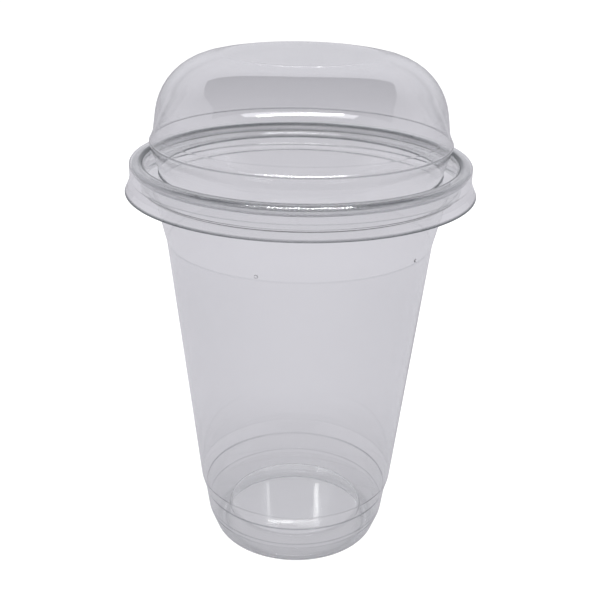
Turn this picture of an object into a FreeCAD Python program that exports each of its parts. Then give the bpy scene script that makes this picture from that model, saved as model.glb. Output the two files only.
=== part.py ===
import FreeCAD, Part
import math
import os

# Clear thermoformed drinking cup with a dome lid on its rolled rim.
# Millimetres. The origin is at the middle of the foot, +Z is up and is the axis of both pieces.
# Each piece is one sheet of even thickness, turned about the axis from its section.

# Cup: sheet and overall size
cup_wall = 0.35
cup_height = 120.5

# Cup: foot and pushed-up base
base_rise = 6.8
base_disc_radius = 20.8
foot_inner_radius = 22.0
foot_outer_radius = 24.1
foot_edge_radius = 25.6
foot_edge_height = 1.0

# Cup: base band between the foot and the stacking step
heel_radius = 27.9
heel_height = 7.2
band_radius = 28.9
band_height = 14.6
step_radius = 30.15
step_height = 19.3

# Cup: tapered wall, flared shoulder and the ledge under the mouth
shoulder_radius = 38.73
shoulder_height = 97.4
ledge_inner_radius = 42.3
ledge_height = 112.4
ledge_rise = 1.2

# Cup: rolled rim
rim_radius = 47.9
rim_roll = 2.5

# Cup: bends of the sheet, measured on the inside of each bend
foot_bend = 0.5
base_bend = 0.8
ledge_bend = 0.4

# Cup: pair of nubs on the shoulder that keep nested cups from sticking
nub_radius = 0.5
nub_stand = 0.35
nub_height = 98.5
nub_angles = (-106.6, -36.0)

# Lid: sheet, and how it sits on the cup
lid_wall = 0.3
seat_gap = 0.15
bead_clearance = 0.3
plug_clearance = 0.3

# Lid: skirt and the bead that holds the rim
skirt_radius = 50.0
skirt_flare_radius = 48.95
skirt_flare_height = 2.3
skirt_height = 4.1
bead_height = 8.65

# Lid: plug wall and groove inside the rim
plug_taper = 0.5
groove_depth = 3.6
groove_inner_radius = 40.1

# Lid: stacking bump and dome
bump_radius = 42.75
bump_height = 126.4
neck_radius = 41.6
neck_height = 128.9
dome_shoulder_radius = 38.9
dome_shoulder_height = 147.15
panel_radius = 22.4
panel_height = 150.0

# Lid: bends of the sheet, measured on the inside of each bend
bead_bend = 0.9
groove_bend = 0.4
bump_bend = 0.8
dome_bend = 17.5

# Both: a slight turn is a crisp fold, a tight bend is one flat, and a bend from this radius up is an arc
crisp = 0.0
smallest_arc = 2.0

# Cup: share of each side of the rolled rim that its corners take, which leaves an even octagon
roll_share = 0.293


def unit(start, end):
    """Direction from one section point to the next."""
    length = math.hypot(end[0] - start[0], end[1] - start[1])
    return (end[0] - start[0]) / length, (end[1] - start[1]) / length


def turn(before, after):
    """Signed turn of a section path at a corner, positive to the left."""
    cross = before[0] * after[1] - before[1] * after[0]
    dot = before[0] * after[0] + before[1] * after[1]
    return math.atan2(cross, dot)


def directions(path):
    """Direction of every run of a section path."""
    return [unit(start, end) for start, end in zip(path, path[1:])]


def other_face(path, wall):
    """The sheet's other face: the path moved to its left by the wall, with mitred corners."""
    runs = directions(path)
    moved = []
    for index, point in enumerate(path):
        before = runs[max(index - 1, 0)]
        after = runs[min(index, len(runs) - 1)]
        half = turn(before, after) / 2.0
        left = (-before[1], before[0])
        miter = wall / math.cos(half)
        shift_r = left[0] * math.cos(half) - left[1] * math.sin(half)
        shift_z = left[0] * math.sin(half) + left[1] * math.cos(half)
        moved.append((point[0] + miter * shift_r, point[1] + miter * shift_z))
    return moved


def at(point):
    """Section point (radius, height) in space, on the XZ plane."""
    return FreeCAD.Vector(point[0], 0.0, point[1])


def line(start, end):
    """Straight run of a section."""
    return Part.LineSegment(at(start), at(end)).toShape()


def along(point, direction, distance):
    """Section point moved along a direction."""
    return point[0] + direction[0] * distance, point[1] + direction[1] * distance


def face_edges(path, bends, left_extra, right_extra):
    """Runs and bends along one face of the sheet.

    left_extra and right_extra are what this face adds to the inside radius of a bend to that side.
    """
    runs = directions(path)
    edges = []
    start = path[0]
    for corner, bend, before, after in zip(path[1:], bends, runs, runs[1:]):
        if bend == crisp:
            edges.append(line(start, corner))
            start = corner
            continue
        angle = turn(before, after)
        radius = bend + (left_extra if angle > 0 else right_extra)
        reach = radius * math.tan(abs(angle) / 2.0)
        into = along(corner, before, -reach)
        out = along(corner, after, reach)
        edges.append(line(start, into))
        if bend < smallest_arc:
            edges.append(line(into, out))
        else:
            chord_middle = ((into[0] + out[0]) / 2.0, (into[1] + out[1]) / 2.0)
            depth = radius / math.cos(angle / 2.0) - radius
            crown = along(corner, unit(corner, chord_middle), depth)
            edges.append(Part.Arc(at(into), at(crown), at(out)).toShape())
        start = out
    edges.append(line(start, path[-1]))
    return edges


def formed_sheet(section, wall):
    """Solid sheet turned about the axis.

    section lists (radius, height, bend) along the sheet's outer face. The sheet lies to its left.
    """
    path = [(radius, height) for radius, height, bend in section]
    bends = [bend for radius, height, bend in section[1:-1]]
    inner = other_face(path, wall)
    outline = face_edges(path, bends, wall, 0.0) + face_edges(inner, bends, 0.0, wall)
    outline += [line(path[-1], inner[-1]), line(inner[0], path[0])]
    face = Part.Face(Part.Wire(Part.__sortEdges__(outline)))
    return face.revolve(FreeCAD.Vector(0, 0, 0), FreeCAD.Vector(0, 0, 1), 360)


def cup_section():
    """Outer face of the cup from the middle of the base to the tip of the rolled rim."""
    rim_inside_top = cup_height - cup_wall
    rim_inside_outer = rim_radius - cup_wall
    rim_inside_inner = rim_radius - rim_roll + cup_wall
    rim_inside_bottom = cup_height - rim_roll + cup_wall
    roll_bend = (rim_inside_outer - rim_inside_inner) * roll_share
    return [
        (0.0, base_rise, crisp),
        (base_disc_radius, base_rise, base_bend),
        (foot_inner_radius, 0.0, foot_bend),
        (foot_outer_radius, 0.0, crisp),
        (foot_edge_radius, foot_edge_height, crisp),
        (heel_radius, heel_height, crisp),
        (band_radius, band_height, crisp),
        (step_radius, step_height, crisp),
        (shoulder_radius, shoulder_height, crisp),
        (ledge_inner_radius, ledge_height, ledge_bend),
        (rim_inside_inner, ledge_height + ledge_rise, ledge_bend),
        (rim_inside_inner, rim_inside_top, roll_bend),
        (rim_inside_outer, rim_inside_top, roll_bend),
        (rim_inside_outer, rim_inside_bottom, roll_bend),
        (rim_inside_outer - rim_roll / 2.0, rim_inside_bottom, crisp),
    ]


def shoulder_wall_radius(height):
    """Outer radius of the cup's flared shoulder at a height."""
    share = (height - shoulder_height) / (ledge_height - shoulder_height)
    return shoulder_radius + (ledge_inner_radius - shoulder_radius) * share


def nub(angle):
    """Round nub that stands out from the shoulder, rooted in the middle of the wall."""
    wall_radius = shoulder_wall_radius(nub_height)
    root = wall_radius - cup_wall / 2.0
    tip = wall_radius + nub_stand
    way = FreeCAD.Vector(math.cos(math.radians(angle)), math.sin(math.radians(angle)), 0.0)
    foot = way * root + FreeCAD.Vector(0.0, 0.0, nub_height)
    return Part.makeCylinder(nub_radius, tip - root, foot, way)


def cup():
    """The cup: one formed sheet with its pair of nubs."""
    body = formed_sheet(cup_section(), cup_wall)
    nubs = [nub(angle) for angle in nub_angles]
    return body.fuse(nubs).removeSplitter().Solids[0]


def lid_section():
    """Outer face of the lid from the skirt's edge to the middle of the dome's top."""
    bead_top = cup_height + seat_gap + lid_wall
    bead_radius = rim_radius + bead_clearance + lid_wall
    skirt_edge = bead_top - bead_height
    plug_radius = rim_radius - rim_roll - plug_clearance - lid_wall
    groove_floor = bead_top - groove_depth
    return [
        (skirt_radius, skirt_edge, crisp),
        (skirt_flare_radius, skirt_edge + skirt_flare_height, crisp),
        (bead_radius, skirt_edge + skirt_height, crisp),
        (bead_radius, bead_top, bead_bend),
        (plug_radius, bead_top, bead_bend),
        (plug_radius - plug_taper, groove_floor, groove_bend),
        (groove_inner_radius, groove_floor, groove_bend),
        (bump_radius, bump_height, bump_bend),
        (neck_radius, neck_height, crisp),
        (dome_shoulder_radius, dome_shoulder_height, dome_bend),
        (panel_radius, panel_height, crisp),
        (0.0, panel_height, crisp),
    ]


def lid():
    """The lid: one formed sheet."""
    return formed_sheet(lid_section(), lid_wall)


def main():
    os.makedirs("parts", exist_ok=True)
    for name, shape in (("cup", cup()), ("lid", lid())):
        shape.exportStep("parts/" + name + ".step")
        box = shape.BoundBox
        print(name, "volume", round(shape.Volume, 1), "height", round(box.ZMin, 3), round(box.ZMax, 3),
              "radius", round(box.XMax, 3), "valid", shape.isValid())


main()
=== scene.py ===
# %% [markdown]
# # Clear cold drink cup with a dome lid
#
# The object is two sheets of clear plastic, each heated and pulled into a mould: a tapered cup with a
# rolled rim, and a lid whose bead snaps over that rim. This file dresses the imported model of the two. It
# turns a fine mesh of each sheet, gives it a clear plastic, and sets up a plain studio with the camera
# where the picture was taken from.
#
# Every place below is in that model's own frame: the origin is at the middle of the foot, +Z is up and
# +Y points away from the camera. The sheets are drawn in millimetres, as a mould maker would, and the
# studio is in metres.

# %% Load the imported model
import math

import bpy
from mathutils import Matrix, Vector


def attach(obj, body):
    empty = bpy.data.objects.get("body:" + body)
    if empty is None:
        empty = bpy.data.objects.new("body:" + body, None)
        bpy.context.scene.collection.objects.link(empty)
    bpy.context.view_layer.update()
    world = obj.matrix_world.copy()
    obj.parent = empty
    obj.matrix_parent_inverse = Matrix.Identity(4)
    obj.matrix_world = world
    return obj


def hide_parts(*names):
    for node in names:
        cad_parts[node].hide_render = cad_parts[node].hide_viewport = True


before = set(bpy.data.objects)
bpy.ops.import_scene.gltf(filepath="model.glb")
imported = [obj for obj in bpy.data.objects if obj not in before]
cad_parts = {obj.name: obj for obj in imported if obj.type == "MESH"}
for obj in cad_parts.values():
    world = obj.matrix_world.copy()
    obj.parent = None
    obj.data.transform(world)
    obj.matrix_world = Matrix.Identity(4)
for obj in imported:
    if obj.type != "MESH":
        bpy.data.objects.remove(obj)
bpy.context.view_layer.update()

MM = 0.001

# %% [markdown]
# ## The sheets
#
# A thermoformed sheet has the same form inside and outside, one wall apart. So its section needs only one
# line: the outer face, as a list of corners. The inner face is the same line moved sideways by the wall.
#
# Each corner holds its radius from the axis, its height, the inside radius of its bend, and two shares of
# painted shade: in the bend, and along the run that follows. The painted shade strengthens the dark lines
# that the real bends show by bending light. A crease is three corners close together, with a share at the
# middle one alone.
#
# Both sheets could be cut out of the imported model's own mesh, but that one has a flat for each tight
# bend, and flats would break up the reflections. Clear plastic is all reflections, so each section is
# drawn here again with true arcs. A few narrow flats stay on purpose, beside the ledge, the bead, the
# groove and the bump: there the real sheets catch a strip of lamps as bright rows, which takes a flat of
# the right slope.

# %% Corners of the cup's outer face
# Radius, height, inside radius of the bend, painted shade in the bend, painted shade along the run that
# follows
CUP_WALL = 0.35
CUP_CORNERS = [
    # Pushed-up base, foot ring and heel
    (0.0, 6.8, 0.0, 0.0, 0.0),
    (20.8, 6.8, 0.8, 0.12, 0.0),
    (22.0, 0.0, 1.1, 0.2, 0.1),
    (25.2, 0.0, 2.5, 0.2, 0.05),
    (27.9, 7.2, 3.0, 0.06, 0.0),
    # Crease under the base band
    (28.05, 8.3, 0.0, 0.0, 0.0),
    (28.1, 8.65, 0.0, 0.25, 0.0),
    (28.15, 9.0, 0.0, 0.0, 0.0),
    # Crease over the base band
    (28.84, 14.15, 0.0, 0.0, 0.0),
    (28.9, 14.6, 0.0, 0.4, 0.0),
    (29.02, 15.05, 0.0, 0.0, 0.0),
    # Stacking step, and the long tapered wall above it
    (30.05, 18.9, 0.0, 0.0, 0.0),
    (30.15, 19.3, 0.0, 0.1, 0.0),
    (30.2, 19.75, 0.0, 0.03, 0.03),
    # Crease where the wall flares into the shoulder
    (38.68, 96.95, 0.0, 0.03, 0.03),
    (38.73, 97.4, 0.0, 0.10, 0.0),
    (38.85, 97.9, 0.0, 0.0, 0.0),
    # Ledge under the mouth
    (42.3, 112.4, 0.4, 0.1, 0.0),
    (45.41, 113.48, 0.2, 0.1, 0.0),
    (45.75, 114.09, 0.2, 0.1, 0.0),
    # Rolled rim, where this face becomes the inside of the roll
    (45.75, 120.15, 0.87, 0.3, 0.2),
    (47.55, 120.15, 0.87, 0.3, 0.1),
    (47.55, 118.35, 0.87, 0.3, 0.1),
    (46.3, 118.35, 0.0, 0.0, 0.0),
]
# Where the shoulder starts and ends in that list, counted from 0
SHOULDER_START = 16
SHOULDER_END = 17
print("cup section:", len(CUP_CORNERS), "corners")

# %% Corners of the lid's outer face
# Radius, height, inside radius of the bend, painted shade in the bend, painted shade along the run that
# follows
LID_WALL = 0.3
LID_CORNERS = [
    # Cut edge and flare of the skirt
    (50.0, 112.3, 0.0, 1.0, 1.0),
    (49.8, 112.74, 0.0, 0.6, 0.6),
    (49.63, 113.11, 0.0, 0.03, 0.03),
    (48.95, 114.6, 1.5, 0.12, 0.03),
    # Bead over the cup's rim
    (48.5, 116.4, 1.5, 0.35, 0.08),
    (48.5, 120.25, 0.38, 0.12, 0.07),
    (48.0, 120.95, 0.38, 0.12, 0.07),
    (46.2, 120.95, 0.0, 0.1, 0.3),
    (44.8, 120.95, 0.9, 0.95, 0.08),
    # Plug wall inside the rim, and the groove at its foot
    (44.38, 117.96, 0.2, 0.3, 0.05),
    (44.04, 117.35, 0.2, 0.3, 0.05),
    (40.1, 117.35, 0.4, 0.9, 0.0),
    # Stacking bump and neck
    (42.82, 126.36, 0.55, 0.5, 0.0),
    (42.39, 126.99, 1.2, 0.1, 0.0),
    (41.6, 128.9, 2.0, 0.1, 0.0),
    # Dome and its flat top
    (38.9, 147.15, 17.5, 0.0, 0.0),
    (22.4, 150.0, 8.0, 0.0, 0.0),
    (0.0, 150.0, 0.0, 0.0, 0.0),
]
print("lid section:", len(LID_CORNERS), "corners")

# %% [markdown]
# The next helpers walk along a section. `direction` and `turn` measure it, and `inner_corners` moves it
# sideways by the wall, with each corner mitred so that the sheet stays even. `rounded` lays a tangent arc
# into each corner. Each run and each arc comes out as a strip of points, each with the normal that the
# real surface has there and its share of painted shade.
#
# Blender could round the corners with a Bevel modifier, but that gives every corner one width. Here each
# bend of the mould has a radius of its own.

# %% Measure a section
RIGHT_ANGLE = math.pi / 2


def direction(start, end):
    """Unit direction between two section points."""
    length = math.hypot(end[0] - start[0], end[1] - start[1])
    return (end[0] - start[0]) / length, (end[1] - start[1]) / length


def turn(before, after):
    """Signed turn between two directions, positive to the left."""
    cross = before[0] * after[1] - before[1] * after[0]
    return math.atan2(cross, before[0] * after[0] + before[1] * after[1])


def rotated(way, angle):
    """Direction turned to the left by an angle."""
    c, s = math.cos(angle), math.sin(angle)
    return way[0] * c - way[1] * s, way[0] * s + way[1] * c


def inner_corners(corners, wall):
    """The sheet's inner face: the corners moved to the left by the wall."""
    ways = [direction(a, b) for a, b in zip(corners, corners[1:])]
    moved = []
    for index, corner in enumerate(corners):
        before = ways[max(index - 1, 0)]
        after = ways[min(index, len(ways) - 1)]
        half = turn(before, after) / 2
        side = rotated(before, half + RIGHT_ANGLE)
        reach = wall / math.cos(half)
        moved.append((corner[0] + side[0] * reach, corner[1] + side[1] * reach))
    return moved


# %% Round one bend
ARC_STEP = math.radians(7.5)
FEWEST_STEPS = 2


def bend_strip(into, before, angle, radius, bend_shade):
    """Strip of (point, normal, gathered) round a bend that starts at a point.

    Its last argument holds the shares of painted shade for the run before, the middle of the bend and the
    run after.
    """
    share_before, share_middle, share_after = bend_shade
    side = math.copysign(RIGHT_ANGLE, angle)
    to_centre = rotated(before, side)
    centre = (into[0] + to_centre[0] * radius, into[1] + to_centre[1] * radius)
    steps = max(FEWEST_STEPS, math.ceil(abs(angle) / ARC_STEP))
    strip = []
    for step in range(steps + 1):
        passed = step / steps
        way = rotated(before, angle * passed)
        spoke = rotated(way, -side)
        point = (centre[0] + spoke[0] * radius, centre[1] + spoke[1] * radius)
        ends = share_before * (1 - passed) + share_after * passed
        crown = math.sin(math.pi * passed)
        strip.append((point, rotated(way, -RIGHT_ANGLE), ends * (1 - crown) + share_middle * crown))
    return strip


# %% Round the corners of a face
def rounded(corners, bends, in_bends, in_runs):
    """Strips of (point, normal, gathered) along a face: one strip a run or arc, normals to the right."""
    ways = [direction(a, b) for a, b in zip(corners, corners[1:])]
    strips = []
    start, start_share = corners[0], in_bends[0]
    for index in range(1, len(corners) - 1):
        before = ways[index - 1]
        angle = turn(before, ways[index])
        radius = bends[index]
        reach = radius * math.tan(abs(angle) / 2)
        into = (corners[index][0] - before[0] * reach, corners[index][1] - before[1] * reach)
        into_share = in_runs[index - 1] if radius > 0 else in_bends[index]
        normal = rotated(before, -RIGHT_ANGLE)
        strips.append([(start, normal, start_share), (into, normal, into_share)])
        start, start_share = into, into_share
        if radius > 0:
            bend_shade = (in_runs[index - 1], in_bends[index], in_runs[index])
            strips.append(bend_strip(into, before, angle, radius, bend_shade))
            start, start_share = strips[-1][-1][0], in_runs[index]
    normal = rotated(ways[-1], -RIGHT_ANGLE)
    strips.append([(start, normal, start_share), (corners[-1], normal, in_bends[-1])])
    return strips


# %% Both faces of a sheet
def cut_edge(a, b, bend_shade):
    """Strip across the sheet's cut edge."""
    normal = rotated(direction(a, b), -RIGHT_ANGLE)
    return [(a, normal, bend_shade), (b, normal, bend_shade)]


def sheet_strips(corners, wall):
    """Outer face, cut edges and inner face of a sheet, as strips in millimetres."""
    path = [(radius, height) for radius, height, bend, in_bend, in_run in corners]
    in_bends = [corner[3] for corner in corners]
    in_runs = [corner[4] for corner in corners]
    inner_path = inner_corners(path, wall)
    ways = [direction(a, b) for a, b in zip(path, path[1:])]
    outer_bends, inner_bends = [0.0] * len(path), [0.0] * len(path)
    for index in range(1, len(path) - 1):
        bend = corners[index][2]
        to_left = turn(ways[index - 1], ways[index]) > 0
        if bend > 0:
            outer_bends[index] = bend + (wall if to_left else 0.0)
            inner_bends[index] = bend + (0.0 if to_left else wall)
    strips = rounded(path, outer_bends, in_bends, in_runs)
    inner = rounded(inner_path, inner_bends, in_bends, in_runs)
    if path[-1][0] > 0:
        strips.append(cut_edge(path[-1], inner_path[-1], in_bends[-1]))
    strips += [[(p, (-n[0], -n[1]), g) for p, n, g in reversed(strip)] for strip in reversed(inner)]
    if path[0][0] > 0:
        strips.append(cut_edge(inner_path[0], path[0], in_bends[0]))
    return strips


cup_strips = sheet_strips(CUP_CORNERS, CUP_WALL)
lid_strips = sheet_strips(LID_CORNERS, LID_WALL)
for title, strips in (("cup", cup_strips), ("lid", lid_strips)):
    print(title, "section:", len(strips), "strips,", sum(len(s) - 1 for s in strips), "steps")

# %% [markdown]
# ## Turning the sheets
#
# Both pieces are round, so each is its section turned about the Z axis, as on a lathe. A Screw modifier
# would do that too. Here the rings are written out instead, because then every face corner can take the
# true normal of the section: a long straight wall beside a tight bend stays straight in its reflections,
# and only the cut edges of the sheet look sharp.

# %% Turn a section about the axis
TURNS = 288
CIRCLE = [(math.cos(2 * math.pi * k / TURNS), math.sin(2 * math.pi * k / TURNS)) for k in range(TURNS)]
ON_AXIS = 1e-6
SAME_POINT = 1e-5
KEY_DIGITS = 5


def spun(normal, k):
    """Section normal at one step round the circle."""
    c, s = CIRCLE[k % TURNS]
    return normal[0] * c, normal[0] * s, normal[1]


def turned(name, strips):
    """Mesh object of a section turned about Z, with the section's own normals."""
    verts, faces, normals, bend_shade, ring_at = [], [], [], [], {}

    def ring(point, share):
        """First vertex of the ring that a section point draws, and whether it is one tip on the axis."""
        key = (round(point[0], KEY_DIGITS), round(point[1], KEY_DIGITS))
        tip = key[0] < ON_AXIS
        if key not in ring_at:
            ring_at[key] = len(verts)
            around = [(0.0, 0.0)] if tip else CIRCLE
            verts.extend((point[0] * MM * c, point[0] * MM * s, point[1] * MM) for c, s in around)
            bend_shade.extend([share] * len(around))
        return ring_at[key], tip

    for strip in strips:
        for (p, n, p_share), (q, m, q_share) in zip(strip, strip[1:]):
            if math.dist(p, q) < SAME_POINT:
                continue
            (a, a_tip), (b, b_tip) = ring(p, p_share), ring(q, q_share)
            for k in range(TURNS):
                j = (k + 1) % TURNS
                if a_tip:
                    faces.append((a, b + j, b + k))
                    normals += [spun(n, k), spun(m, k + 1), spun(m, k)]
                elif b_tip:
                    faces.append((a + k, a + j, b))
                    normals += [spun(n, k), spun(n, k + 1), spun(m, k)]
                else:
                    faces.append((a + k, a + j, b + j, b + k))
                    normals += [spun(n, k), spun(n, k + 1), spun(m, k + 1), spun(m, k)]
    mesh = bpy.data.meshes.new(name)
    mesh.from_pydata(verts, [], faces)
    mesh.shade_smooth()
    mesh.normals_split_custom_set(normals)
    # This attribute carries each point's share of painted shade at the bends
    mesh.attributes.new("bend_shade", "FLOAT", "POINT").data.foreach_set("value", bend_shade)
    mesh.update()
    obj = bpy.data.objects.new(name, mesh)
    bpy.context.scene.collection.objects.link(obj)
    print(name, "faces:", len(faces), "triangles:", sum(len(f) - 2 for f in faces))
    return obj


cup_sheet = turned("cup_sheet", cup_strips)
lid_sheet = turned("lid_sheet", lid_strips)

# %% [markdown]
# ## Stacking nubs
#
# Two small nubs stand out from the cup's shoulder, so that nested cups keep a film of air between them
# and come apart. In the mould each is a shallow drilled pit. A flattened ball of the same plastic, rooted
# in the wall, gives the same soft spot of light. They are joined to the cup's mesh, because on the real
# cup they are the same sheet.

# %% Nubs on the shoulder
NUB_HEIGHT = 98.5
NUB_RADIUS = 0.55
NUB_STAND = 0.25
NUB_ANGLES = (-106.6, -36.0)
NUB_SEGMENTS = 24


def shoulder_radius(height):
    """Outer radius of the cup's shoulder at a height, in millimetres."""
    (r0, z0), (r1, z1) = CUP_CORNERS[SHOULDER_START][:2], CUP_CORNERS[SHOULDER_END][:2]
    return r0 + (r1 - r0) * (height - z0) / (z1 - z0)


def nub(angle):
    """Flattened ball on the shoulder at an angle about Z, in degrees."""
    bpy.ops.mesh.primitive_uv_sphere_add(
        segments=NUB_SEGMENTS, ring_count=NUB_SEGMENTS // 2, radius=NUB_RADIUS * MM)
    ball = bpy.context.active_object
    ball.data.shade_smooth()
    around = math.radians(angle)
    radius = shoulder_radius(NUB_HEIGHT) * MM
    squash = Matrix.Diagonal((NUB_STAND / NUB_RADIUS, 1.0, 1.0, 1.0))
    spin = Matrix.Rotation(around, 4, "Z")
    place = Matrix.Translation((radius * math.cos(around), radius * math.sin(around), NUB_HEIGHT * MM))
    ball.data.transform(place @ spin @ squash)
    return ball


nubs = [nub(angle) for angle in NUB_ANGLES]
bpy.ops.object.select_all(action="DESELECT")
for piece in nubs + [cup_sheet]:
    piece.select_set(True)
bpy.context.view_layer.objects.active = cup_sheet
bpy.ops.object.join()
print("cup with its nubs:", len(cup_sheet.data.polygons), "faces")

# %% [markdown]
# ## Hand the sheets to the frame
#
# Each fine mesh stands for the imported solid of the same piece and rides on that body, so the lid lifts
# off the cup when the joint moves.

# %% Ride on the bodies
for piece, node in ((cup_sheet, "cup"), (lid_sheet, "lid")):
    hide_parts(node)
    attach(piece, node)
    print(piece.name, "stands for", node)

# %% [markdown]
# ## Effects that both plastics share
#
# Formed sheet is never optically perfect. Pulling it into the mould leaves long soft ripples, and
# handling and stacking leave a faint bloom of hairlines. Both could be painted as images, but noise over
# the object's own place has no seam round the cup. Each effect is a node group with named sockets, so
# that the cup and the lid can use it with values of their own.

# %% Node helpers
def new_group(name, inputs, outputs):
    """Shader node group with named float inputs (name, value) and outputs (name)."""
    group = bpy.data.node_groups.new(name, "ShaderNodeTree")
    for title, value in inputs:
        socket = group.interface.new_socket(name=title, in_out="INPUT", socket_type="NodeSocketFloat")
        socket.default_value = value
    for title in outputs:
        group.interface.new_socket(name=title, in_out="OUTPUT", socket_type="NodeSocketFloat")
    start = group.nodes.new("NodeGroupInput")
    end = group.nodes.new("NodeGroupOutput")
    return group, start, end


def math_node(tree, operation, first, second):
    """Math node fed by sockets or numbers. Returns its output."""
    node = tree.nodes.new("ShaderNodeMath")
    node.operation = operation
    for socket, value in zip(node.inputs, (first, second)):
        if isinstance(value, (int, float)):
            socket.default_value = value
        else:
            tree.links.new(value, socket)
    return node.outputs[0]


def mix_colours(tree, factor, first, second):
    """Mix node of two colours, each a socket or a plain (r, g, b). Returns its output."""
    node = tree.nodes.new("ShaderNodeMix")
    node.data_type = "RGBA"
    tree.links.new(factor, node.inputs["Factor"])
    for title, colour in (("A", first), ("B", second)):
        if isinstance(colour, tuple):
            node.inputs[title].default_value = (*colour, 1.0)
        else:
            tree.links.new(colour, node.inputs[title])
    return node.outputs["Result"]


# %% Forming ripples
MM_IN_METRE = 1000.0
WAVE_DETAIL = 1.0

ripples, inside, outside = new_group(
    "forming ripples", [("Wave length mm", 16.0), ("Stretch", 3.0)], ["Height"])
place = ripples.nodes.new("ShaderNodeTexCoord")
squeeze = ripples.nodes.new("ShaderNodeCombineXYZ")
squeeze.inputs["X"].default_value = 1.0
squeeze.inputs["Y"].default_value = 1.0
ripples.links.new(math_node(ripples, "DIVIDE", 1.0, inside.outputs["Stretch"]), squeeze.inputs["Z"])
pulled = ripples.nodes.new("ShaderNodeVectorMath")
pulled.operation = "MULTIPLY"
ripples.links.new(place.outputs["Object"], pulled.inputs[0])
ripples.links.new(squeeze.outputs[0], pulled.inputs[1])
soft = ripples.nodes.new("ShaderNodeTexNoise")
soft.inputs["Detail"].default_value = WAVE_DETAIL
wave_scale = math_node(ripples, "DIVIDE", MM_IN_METRE, inside.outputs["Wave length mm"])
ripples.links.new(wave_scale, soft.inputs["Scale"])
ripples.links.new(pulled.outputs[0], soft.inputs["Vector"])
ripples.links.new(soft.outputs[0], outside.inputs["Height"])
print("group:", ripples.name)

# %% Handling bloom
PATCH_DETAIL = 4.0
PATCH_GRAIN = 0.65
RUBBED_FROM, RUBBED_TO = 0.4, 0.7

bloom, inside, outside = new_group(
    "handling bloom", [("Clear roughness", 0.02), ("Rubbed roughness", 0.06), ("Patch size mm", 12.0)],
    ["Roughness"])
place = bloom.nodes.new("ShaderNodeTexCoord")
patches = bloom.nodes.new("ShaderNodeTexNoise")
patches.inputs["Detail"].default_value = PATCH_DETAIL
patches.inputs["Roughness"].default_value = PATCH_GRAIN
patch_scale = math_node(bloom, "DIVIDE", MM_IN_METRE, inside.outputs["Patch size mm"])
bloom.links.new(patch_scale, patches.inputs["Scale"])
bloom.links.new(place.outputs["Object"], patches.inputs["Vector"])
spread = bloom.nodes.new("ShaderNodeMapRange")
spread.inputs["From Min"].default_value = RUBBED_FROM
spread.inputs["From Max"].default_value = RUBBED_TO
bloom.links.new(patches.outputs[0], spread.inputs["Value"])
bloom.links.new(inside.outputs["Clear roughness"], spread.inputs["To Min"])
bloom.links.new(inside.outputs["Rubbed roughness"], spread.inputs["To Max"])
bloom.links.new(spread.outputs[0], outside.inputs["Roughness"])
print("group:", bloom.name)

# %% [markdown]
# The real sheet's bends turn the light that passes them and show as thin dark lines, darker than the render
# alone gives them. So each bend also gets painted shade: a thin grey line in the colour. The line could be
# drawn by hand as a texture, but the section already knows where its bends are. So the mesh carries that
# share as an attribute, and this group hands it out as a mask.

# %% Painted shade at the bends
bend_shade_group, inside, outside = new_group("painted bend shade", [("Strength", 1.0)], ["Mask"])
from_mesh = bend_shade_group.nodes.new("ShaderNodeAttribute")
from_mesh.attribute_name = "bend_shade"
# Painted shade: the mask that greys the colour at the bends
mask = math_node(bend_shade_group, "MULTIPLY", from_mesh.outputs["Fac"], inside.outputs["Strength"])
bend_shade_group.links.new(mask, outside.inputs["Mask"])
print("group:", bend_shade_group.name)

# %% [markdown]
# ## Clear sheet plastic
#
# The plastic bends light more than window glass does, so its index is 1.575. It is clear across the wall,
# but a ray that runs along inside the sheet, as at the rolled rim and the skirt's edge, picks up a grey,
# greenish in the cup and bluish in the lid. So the surface is plain clear glass, and the tint is a thin
# absorption inside the sheet, which grows with the way that light takes through it. A thin shell with one
# flat grey would be quicker to render, but would lose those dark edges.
#
# The painted shade is stronger where the sheet is seen edge on. Layer Weight gives that slant, so a crease
# shows as a dark stroke at the cup's sides and nearly fades at its front, as the real creases look by
# bending light. The shader and the nodes that know about the view stay in the material itself.

# %% Skin of the sheet
SLANT_BLEND = 0.85


def bend_tone(tree, bend_grey, face_on, edge_on):
    """Base colour: clear, with painted shade in its grey at the bends, by the shares seen face on and edge
    on.
    """
    bend_shade = tree.nodes.new("ShaderNodeGroup")
    bend_shade.node_tree = bend_shade_group
    slant = tree.nodes.new("ShaderNodeLayerWeight")
    slant.inputs["Blend"].default_value = SLANT_BLEND
    # Painted shade: stronger where the bend is seen edge on
    edge_on_shade = math_node(tree, "MULTIPLY", slant.outputs["Facing"], edge_on - face_on)
    edge_on_shade = math_node(tree, "ADD", edge_on_shade, face_on)
    factor = math_node(tree, "MULTIPLY", bend_shade.outputs["Mask"], edge_on_shade)
    return mix_colours(tree, factor, (1.0, 1.0, 1.0), bend_grey)


def rubbed(tree, clear_rough, rubbed_rough):
    """Roughness: clear, with rubbed patches."""
    marks = tree.nodes.new("ShaderNodeGroup")
    marks.node_tree = bloom
    marks.inputs["Clear roughness"].default_value = clear_rough
    marks.inputs["Rubbed roughness"].default_value = rubbed_rough
    return marks.outputs["Roughness"]


def rippled(tree, wave_mm, stretch, wave_height_mm):
    """Normal: the long soft waves of the forming."""
    waves = tree.nodes.new("ShaderNodeGroup")
    waves.node_tree = ripples
    waves.inputs["Wave length mm"].default_value = wave_mm
    waves.inputs["Stretch"].default_value = stretch
    bump = tree.nodes.new("ShaderNodeBump")
    bump.inputs["Strength"].default_value = 1.0
    bump.inputs["Distance"].default_value = wave_height_mm * MM
    tree.links.new(waves.outputs["Height"], bump.inputs["Height"])
    return bump.outputs["Normal"]


# %% [markdown]
# Glass in Cycles throws a full dark shadow unless caustics are traced, which is slow and noisy. A real
# clear cup hardly shades the table. So shadow rays and the floor's own diffuse rays pass straight through
# the sheet, a little dimmed, and all other rays meet the glass.

# %% Let the floor's light through
PASSED_LIGHT = 0.975


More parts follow.
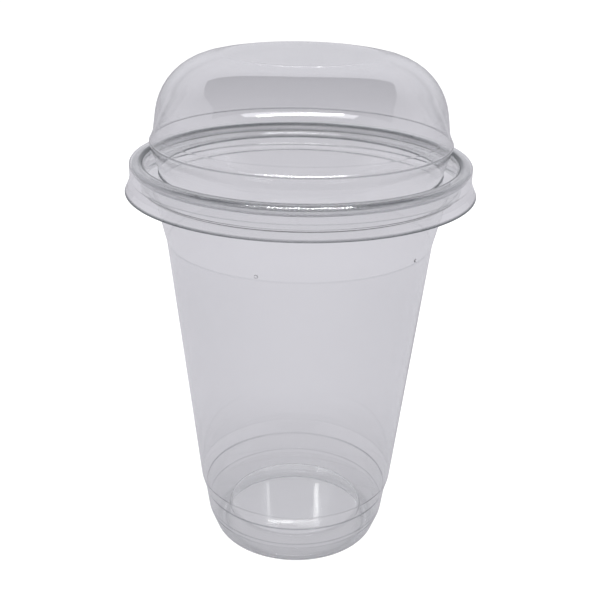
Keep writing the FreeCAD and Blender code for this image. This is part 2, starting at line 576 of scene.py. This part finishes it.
def lets_floor_light_through(tree, surface):
    """Surface that shadow rays and diffuse rays pass nearly undimmed."""
    clear = tree.nodes.new("ShaderNodeBsdfTransparent")
    clear.inputs["Color"].default_value = (PASSED_LIGHT, PASSED_LIGHT, PASSED_LIGHT, 1.0)
    path = tree.nodes.new("ShaderNodeLightPath")
    for ray in ("Is Shadow Ray", "Is Diffuse Ray"):
        either = tree.nodes.new("ShaderNodeMixShader")
        tree.links.new(path.outputs[ray], either.inputs["Fac"])
        tree.links.new(surface, either.inputs[1])
        tree.links.new(clear.outputs[0], either.inputs[2])
        surface = either.outputs[0]
    return surface


# %% Clear plastic
PLASTIC_INDEX = 1.575


def clear_plastic(name, tint, density, bend_grey, face_on, edge_on,
                  clear_rough, rubbed_rough, wave_mm, stretch, wave_height_mm):
    """Material for a formed clear sheet.

    tint and density colour its inside. bend_grey is the painted shade of its bends, by the shares seen face
    on and edge on.
    """
    material = bpy.data.materials.new(name)
    material.use_nodes = True
    tree = material.node_tree
    tree.nodes.clear()
    shader = tree.nodes.new("ShaderNodeBsdfPrincipled")
    shader.inputs["Metallic"].default_value = 0.0
    shader.inputs["IOR"].default_value = PLASTIC_INDEX
    shader.inputs["Transmission Weight"].default_value = 1.0
    tree.links.new(bend_tone(tree, bend_grey, face_on, edge_on), shader.inputs["Base Color"])
    tree.links.new(rubbed(tree, clear_rough, rubbed_rough), shader.inputs["Roughness"])
    tree.links.new(rippled(tree, wave_mm, stretch, wave_height_mm), shader.inputs["Normal"])
    inside_tint = tree.nodes.new("ShaderNodeVolumeAbsorption")
    inside_tint.inputs["Color"].default_value = (*tint, 1.0)
    inside_tint.inputs["Density"].default_value = density
    end = tree.nodes.new("ShaderNodeOutputMaterial")
    tree.links.new(lets_floor_light_through(tree, shader.outputs[0]), end.inputs["Surface"])
    tree.links.new(inside_tint.outputs[0], end.inputs["Volume"])
    print("material:", name)
    return material


cup_plastic = clear_plastic(
    "cup_plastic", tint=(0.56, 0.60, 0.58), density=130.0,
    bend_grey=(0.16, 0.18, 0.20), face_on=0.15, edge_on=2.4,
    clear_rough=0.01, rubbed_rough=0.04,
    wave_mm=18.0, stretch=4.0, wave_height_mm=0.006)
lid_plastic = clear_plastic(
    "lid_plastic", tint=(0.58, 0.61, 0.62), density=110.0,
    bend_grey=(0.12, 0.14, 0.145), face_on=0.8, edge_on=1.3,
    clear_rough=0.02, rubbed_rough=0.05,
    wave_mm=22.0, stretch=1.0, wave_height_mm=0.006)

# %% Dress the sheets and the solids under them
for piece, material in ((cup_sheet, cup_plastic), (lid_sheet, lid_plastic)):
    piece.data.materials.clear()
    piece.data.materials.append(material)
for node, material in (("cup", cup_plastic), ("lid", lid_plastic)):
    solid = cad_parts[node]
    solid.data.materials.clear()
    solid.data.materials.append(material)
    print(node, "is dressed in", material.name)

# %% [markdown]
# ## The studio
#
# Clear plastic has hardly a colour of its own: it shows what stands around it. This cup shows the pale
# grey of a light tent, on a page that is white. One white room would make it vanish. So the floor and the
# world are pale grey to the rays that come through or off the plastic, and white to the camera alone.
#
# The floor's grey is painted by the way from the cup: darker near and under the cup as a painted shadow,
# brightest a little way out, and darker again far out as a painted falloff of light. It keeps the cup's
# soft shadow as well.

# %% Floor
FLOOR_REACH = 6.0
FLOOR_DROP = 0.00005
FLOOR_GREY = (0.637, 0.63, 0.641)
# Painted shadow near the cup and painted falloff of light far out, as (distance from the cup in metres,
# level)
FLOOR_SHADE_LEVELS = (
    (0.0, 0.92), (0.03, 0.90), (0.05, 0.92), (0.09, 1.0),
    (0.19, 0.99), (0.25, 1.02), (0.45, 1.00), (0.80, 0.81),
)
PAGE_LIFT = 0.60
PAGE_TINT = (0.98, 1.0, 0.94)


def set_ramp(node, levels, tint):
    """Set a colour ramp from (position, level) stops of one tint."""
    ramp = node.color_ramp
    for position, level in levels:
        if position == levels[0][0]:
            stop = ramp.elements[0]
        elif position == levels[-1][0]:
            stop = ramp.elements[-1]
        else:
            stop = ramp.elements.new(position)
        stop.position = position
        stop.color = (level * tint[0], level * tint[1], level * tint[2], 1.0)


def floor_paper(name):
    """Matt paper with painted shade by the way from the cup, and lifted to white for the camera."""
    paper = bpy.data.materials.new(name)
    paper.use_nodes = True
    tree = paper.node_tree
    tree.nodes.clear()
    place = tree.nodes.new("ShaderNodeTexCoord")
    distance = tree.nodes.new("ShaderNodeVectorMath")
    distance.operation = "LENGTH"
    tree.links.new(place.outputs["Object"], distance.inputs[0])
    # Painted shade: the paper's grey by its distance from the cup
    floor_shade = tree.nodes.new("ShaderNodeValToRGB")
    floor_shade.color_ramp.interpolation = "EASE"
    set_ramp(floor_shade, FLOOR_SHADE_LEVELS, FLOOR_GREY)
    tree.links.new(distance.outputs["Value"], floor_shade.inputs["Fac"])
    matt = tree.nodes.new("ShaderNodeBsdfDiffuse")
    tree.links.new(floor_shade.outputs["Color"], matt.inputs["Color"])
    path = tree.nodes.new("ShaderNodeLightPath")
    lift = tree.nodes.new("ShaderNodeEmission")
    lift.inputs["Color"].default_value = (*PAGE_TINT, 1.0)
    seen_lift = math_node(tree, "MULTIPLY", path.outputs["Is Camera Ray"], PAGE_LIFT)
    tree.links.new(seen_lift, lift.inputs["Strength"])
    both = tree.nodes.new("ShaderNodeAddShader")
    tree.links.new(matt.outputs[0], both.inputs[0])
    tree.links.new(lift.outputs[0], both.inputs[1])
    end = tree.nodes.new("ShaderNodeOutputMaterial")
    tree.links.new(both.outputs[0], end.inputs["Surface"])
    return paper


floor_mesh = bpy.data.meshes.new("studio_floor")
floor_corners = [(x * FLOOR_REACH, y * FLOOR_REACH, 0.0) for x, y in ((-1, -1), (1, -1), (1, 1), (-1, 1))]
floor_mesh.from_pydata(floor_corners, [], [(0, 1, 2, 3)])
floor_mesh.materials.append(floor_paper("studio_floor"))
floor = bpy.data.objects.new("studio_floor", floor_mesh)
bpy.context.scene.collection.objects.link(floor)
floor.location.z = -FLOOR_DROP
print("floor:", 2 * FLOOR_REACH, "m wide")

# %% [markdown]
# The tent's back wall is brightest at the top and its sides are duller, which gives the cup its darker
# edges. Behind the camera is the darker room. A picture of a real studio could give all that, but then
# its details would show in every bend. Here it is worked out from the direction of the ray: one ramp by
# height for the back and one for the sides, blended by the way back.
#
# Only reflections and clear plastic see the tent. To the floor the world is one even level, so that a
# change of the tent doesn't change the table.

# %% Tent
TENT_TINT = (0.99, 0.985, 1.045)
BACK_LEVELS = ((0.0, 0.58), (0.05, 0.60), (0.15, 0.74), (0.34, 0.84), (0.57, 1.0), (1.0, 1.0))
SIDE_LEVELS = ((0.0, 0.60), (0.15, 0.63), (0.50, 0.60), (1.0, 0.50))
# Limits of each part of the tent, as the Y or Z part of the ray's direction
BACK_FROM, BACK_TO = 0.1, 0.55
ROOM_FROM, ROOM_TO = 0.35, 0.85
LAMPS_FROM, LAMPS_TO = -0.66, -0.42
ROOM_SHARE = 0.30
ROOM_BLUE = 1.05
MEAN_LEVEL = 0.955


def level_ramp(tree, height, levels):
    """Colour of a tent wall by height."""
    wall = tree.nodes.new("ShaderNodeValToRGB")
    set_ramp(wall, levels, TENT_TINT)
    tree.links.new(height, wall.inputs["Fac"])
    return wall.outputs["Color"]


def smooth_step(tree, value, low, high):
    """Smooth rise of a value from 0 at low to 1 at high."""
    node = tree.nodes.new("ShaderNodeMapRange")
    node.interpolation_type = "SMOOTHSTEP"
    node.inputs["From Min"].default_value = low
    node.inputs["From Max"].default_value = high
    tree.links.new(value, node.inputs["Value"])
    return node.outputs["Result"]


def tent_colour(tree):
    """Colour of the tent and the room by the direction of a ray."""
    place = tree.nodes.new("ShaderNodeTexCoord")
    way = tree.nodes.new("ShaderNodeSeparateXYZ")
    tree.links.new(place.outputs["Generated"], way.inputs[0])
    back_wall = level_ramp(tree, way.outputs["Z"], BACK_LEVELS)
    side_wall = level_ramp(tree, way.outputs["Z"], SIDE_LEVELS)
    walls = mix_colours(tree, smooth_step(tree, way.outputs["Y"], BACK_FROM, BACK_TO), side_wall, back_wall)
    to_front = math_node(tree, "MULTIPLY", way.outputs["Y"], -1.0)
    downward = math_node(tree, "MULTIPLY", way.outputs["Z"], -1.0)
    toward_room = smooth_step(tree, to_front, ROOM_FROM, ROOM_TO)
    below_lamps = smooth_step(tree, downward, LAMPS_FROM, LAMPS_TO)
    doorway = math_node(tree, "MULTIPLY", toward_room, below_lamps)
    return mix_colours(tree, doorway, walls, (ROOM_SHARE, ROOM_SHARE, ROOM_SHARE * ROOM_BLUE))


world = bpy.data.worlds.new("tent")
bpy.context.scene.world = world
world.use_nodes = True
tree = world.node_tree
tree.nodes.clear()
path = tree.nodes.new("ShaderNodeLightPath")
sharp = math_node(tree, "MAXIMUM", path.outputs["Is Glossy Ray"], path.outputs["Is Transmission Ray"])
even = tuple(MEAN_LEVEL * part for part in TENT_TINT)
around = mix_colours(tree, sharp, even, tent_colour(tree))
seen = mix_colours(tree, path.outputs["Is Camera Ray"], around, (1.0, 1.0, 1.0))
glow = tree.nodes.new("ShaderNodeBackground")
tree.links.new(seen, glow.inputs["Color"])
end = tree.nodes.new("ShaderNodeOutputWorld")
tree.links.new(glow.outputs[0], end.inputs["Surface"])
print("world:", world.name)

# %% [markdown]
# One wide soft lamp above gives the floor its light and the cup its contact shadow. The plastic doesn't
# mirror it. What the dome mirrors are the tent's dark roof opening and the strip of small lamps at its
# front edge, and what the flat base mirrors is the bright edge of a window in the back wall. So those are
# cards of their own that only reflections and clear plastic see.

# %% Soft lamp
TOP_WIDTH, TOP_DEPTH = 1.4, 1.2
TOP_PLACE = (0.0, -0.1, 1.2)
TOP_WATTS = 2.5

lamp_data = bpy.data.lights.new("soft_top", "AREA")
lamp_data.shape = "RECTANGLE"
lamp_data.size = TOP_WIDTH
lamp_data.size_y = TOP_DEPTH
lamp_data.energy = TOP_WATTS
lamp = bpy.data.objects.new("soft_top", lamp_data)
lamp.location = TOP_PLACE
bpy.context.scene.collection.objects.link(lamp)
lamp.visible_glossy = False
lamp.visible_transmission = False
lamp.visible_camera = False
print("lamp:", TOP_WATTS, "W")

# %% Card helpers
WHITE = (1.0, 1.0, 1.0)


def card(name, outlines, colour, strength):
    """Glowing card with one face an outline, seen by reflections and clear plastic alone."""
    verts, faces = [], []
    for outline in outlines:
        faces.append(tuple(range(len(verts), len(verts) + len(outline))))
        verts += outline
    mesh = bpy.data.meshes.new(name)
    mesh.from_pydata(verts, [], faces)
    obj = bpy.data.objects.new(name, mesh)
    bpy.context.scene.collection.objects.link(obj)
    material = bpy.data.materials.new(name)
    material.use_nodes = True
    nodes = material.node_tree.nodes
    nodes.clear()
    shine = nodes.new("ShaderNodeEmission")
    shine.inputs["Color"].default_value = (*colour, 1.0)
    shine.inputs["Strength"].default_value = strength
    end = nodes.new("ShaderNodeOutputMaterial")
    material.node_tree.links.new(shine.outputs[0], end.inputs["Surface"])
    mesh.materials.append(material)
    obj.visible_camera = False
    obj.visible_diffuse = False
    obj.visible_shadow = False
    print("card:", name, len(faces), "faces")


def level_quad(x0, x1, y0, y1, z):
    """Level rectangle at height z."""
    return [(x0, y0, z), (x1, y0, z), (x1, y1, z), (x0, y1, z)]


# %% Roof opening and its bright front edge
ROOF_HEIGHT = 0.45
OPENING_OUTLINE = [
    (-0.27, 0.24), (0.24, 0.235), (0.33, 0.12), (0.46, -0.03), (0.80, -0.23),
    (0.26, -0.245), (-0.26, -0.245), (-0.80, -0.23), (-0.48, -0.08), (-0.40, 0.09),
]
OPENING_GREY = (0.13, 0.13, 0.15)
FRONT_LEFT, FRONT_RIGHT = -0.34, 0.30
FRONT_NEAR, FRONT_FAR = -0.31, -0.245
FRONT_LIFT = 0.002
FRONT_WHITE = (1.0, 1.0, 1.03)
FRONT_STRENGTH = 3.2

opening = [(x, y, ROOF_HEIGHT) for x, y in OPENING_OUTLINE]
front = level_quad(FRONT_LEFT, FRONT_RIGHT, FRONT_NEAR, FRONT_FAR, ROOF_HEIGHT + FRONT_LIFT)
card("roof_opening", [opening], OPENING_GREY, 1.0)
card("roof_front", [front], FRONT_WHITE, FRONT_STRENGTH)

# %% Strip of small lamps
LAMPS = 27
LAMP_PITCH = 0.0167
LAMP_WIDTH = 0.007
LAMP_DEPTH = 0.036
STRIP_MIDDLE = (-0.020, -0.281)
STRIP_SLANT = 0.09
STRIP_STRENGTH = 45.0

strip_lamps = []
for i in range(LAMPS):
    x = STRIP_MIDDLE[0] + LAMP_PITCH * (i - (LAMPS - 1) / 2)
    y = STRIP_MIDDLE[1] + STRIP_SLANT * (x - STRIP_MIDDLE[0])
    sides = (x - LAMP_WIDTH / 2, x + LAMP_WIDTH / 2, y - LAMP_DEPTH / 2, y + LAMP_DEPTH / 2)
    strip_lamps.append(level_quad(*sides, ROOF_HEIGHT))
card("lamp_strip", strip_lamps, WHITE, STRIP_STRENGTH)

# %% Bright edge of the window
WINDOW_BACK = 0.60
WINDOW_LEFT, WINDOW_RIGHT = -0.031, 0.026
WINDOW_LOW, WINDOW_HIGH = 0.388, 0.437
LEFT_BAR, RIGHT_BAR, HEAD_BAR = 0.003, 0.0048, 0.003
LEFT_STRENGTH, RIGHT_STRENGTH, HEAD_STRENGTH = 2.2, 4.0, 6.0


def upright_quad(x0, x1, z0, z1):
    """Upright rectangle on the tent's back wall."""
    return [(x0, WINDOW_BACK, z0), (x1, WINDOW_BACK, z0), (x1, WINDOW_BACK, z1), (x0, WINDOW_BACK, z1)]


left_bar = upright_quad(WINDOW_LEFT, WINDOW_LEFT + LEFT_BAR, WINDOW_LOW, WINDOW_HIGH)
right_bar = upright_quad(WINDOW_RIGHT - RIGHT_BAR, WINDOW_RIGHT, WINDOW_LOW, WINDOW_HIGH)
head_bar = upright_quad(WINDOW_LEFT, WINDOW_RIGHT, WINDOW_HIGH - HEAD_BAR, WINDOW_HIGH)
card("window_left", [left_bar], WHITE, LEFT_STRENGTH)
card("window_right", [right_bar], WHITE, RIGHT_STRENGTH)
card("window_head", [head_bar], WHITE, HEAD_STRENGTH)

# %% [markdown]
# ## Camera
#
# The picture's own lines give the camera: the ellipses of the rims give its height and tilt, and the
# cup's taper gives its distance. It looks down by 22.4 degrees from 0.28 m in front, with a slight roll.
# Three Euler angles could turn it too. Its axes are worked out here instead, because then each turn is
# plain to read.

# %% Camera
CAMERA_PLACE = Vector((0.0, -0.2793, 0.19195))
PITCH_DOWN = math.radians(22.40)
YAW = math.radians(0.09)
ROLL = math.radians(1.08)
SENSOR_WIDTH = 36.0
LENS = 60.12
CLIP_START, CLIP_END = 0.01, 20.0

level, drop = math.cos(PITCH_DOWN), math.sin(PITCH_DOWN)
across = Vector((math.cos(YAW), -math.sin(YAW), 0.0))
ahead = Vector((level * math.sin(YAW), level * math.cos(YAW), -drop))
upward = Vector((drop * math.sin(YAW), drop * math.cos(YAW), level))
right = across * math.cos(ROLL) + upward * math.sin(ROLL)
top = upward * math.cos(ROLL) - across * math.sin(ROLL)
facing = Matrix((right, top, -ahead)).transposed().to_4x4()

camera_data = bpy.data.cameras.new("camera")
camera_data.sensor_width = SENSOR_WIDTH
camera_data.lens = LENS
camera_data.clip_start = CLIP_START
camera_data.clip_end = CLIP_END
camera = bpy.data.objects.new("camera", camera_data)
camera.matrix_world = Matrix.Translation(CAMERA_PLACE) @ facing
bpy.context.scene.collection.objects.link(camera)
bpy.context.scene.camera = camera
print("camera at", [round(v, 4) for v in CAMERA_PLACE])

# %% [markdown]
#
# A ray to the back of the cup crosses many faces of clear sheet, so the render needs more bounces than
# usual.

# %% Settings
SHEET_BOUNCES = 40
MIRROR_BOUNCES = 16

scene = bpy.context.scene
scene.view_settings.view_transform = "Standard"
scene.cycles.max_bounces = SHEET_BOUNCES
scene.cycles.transmission_bounces = SHEET_BOUNCES
scene.cycles.transparent_max_bounces = SHEET_BOUNCES
scene.cycles.glossy_bounces = MIRROR_BOUNCES
print("bounces:", scene.cycles.max_bounces)
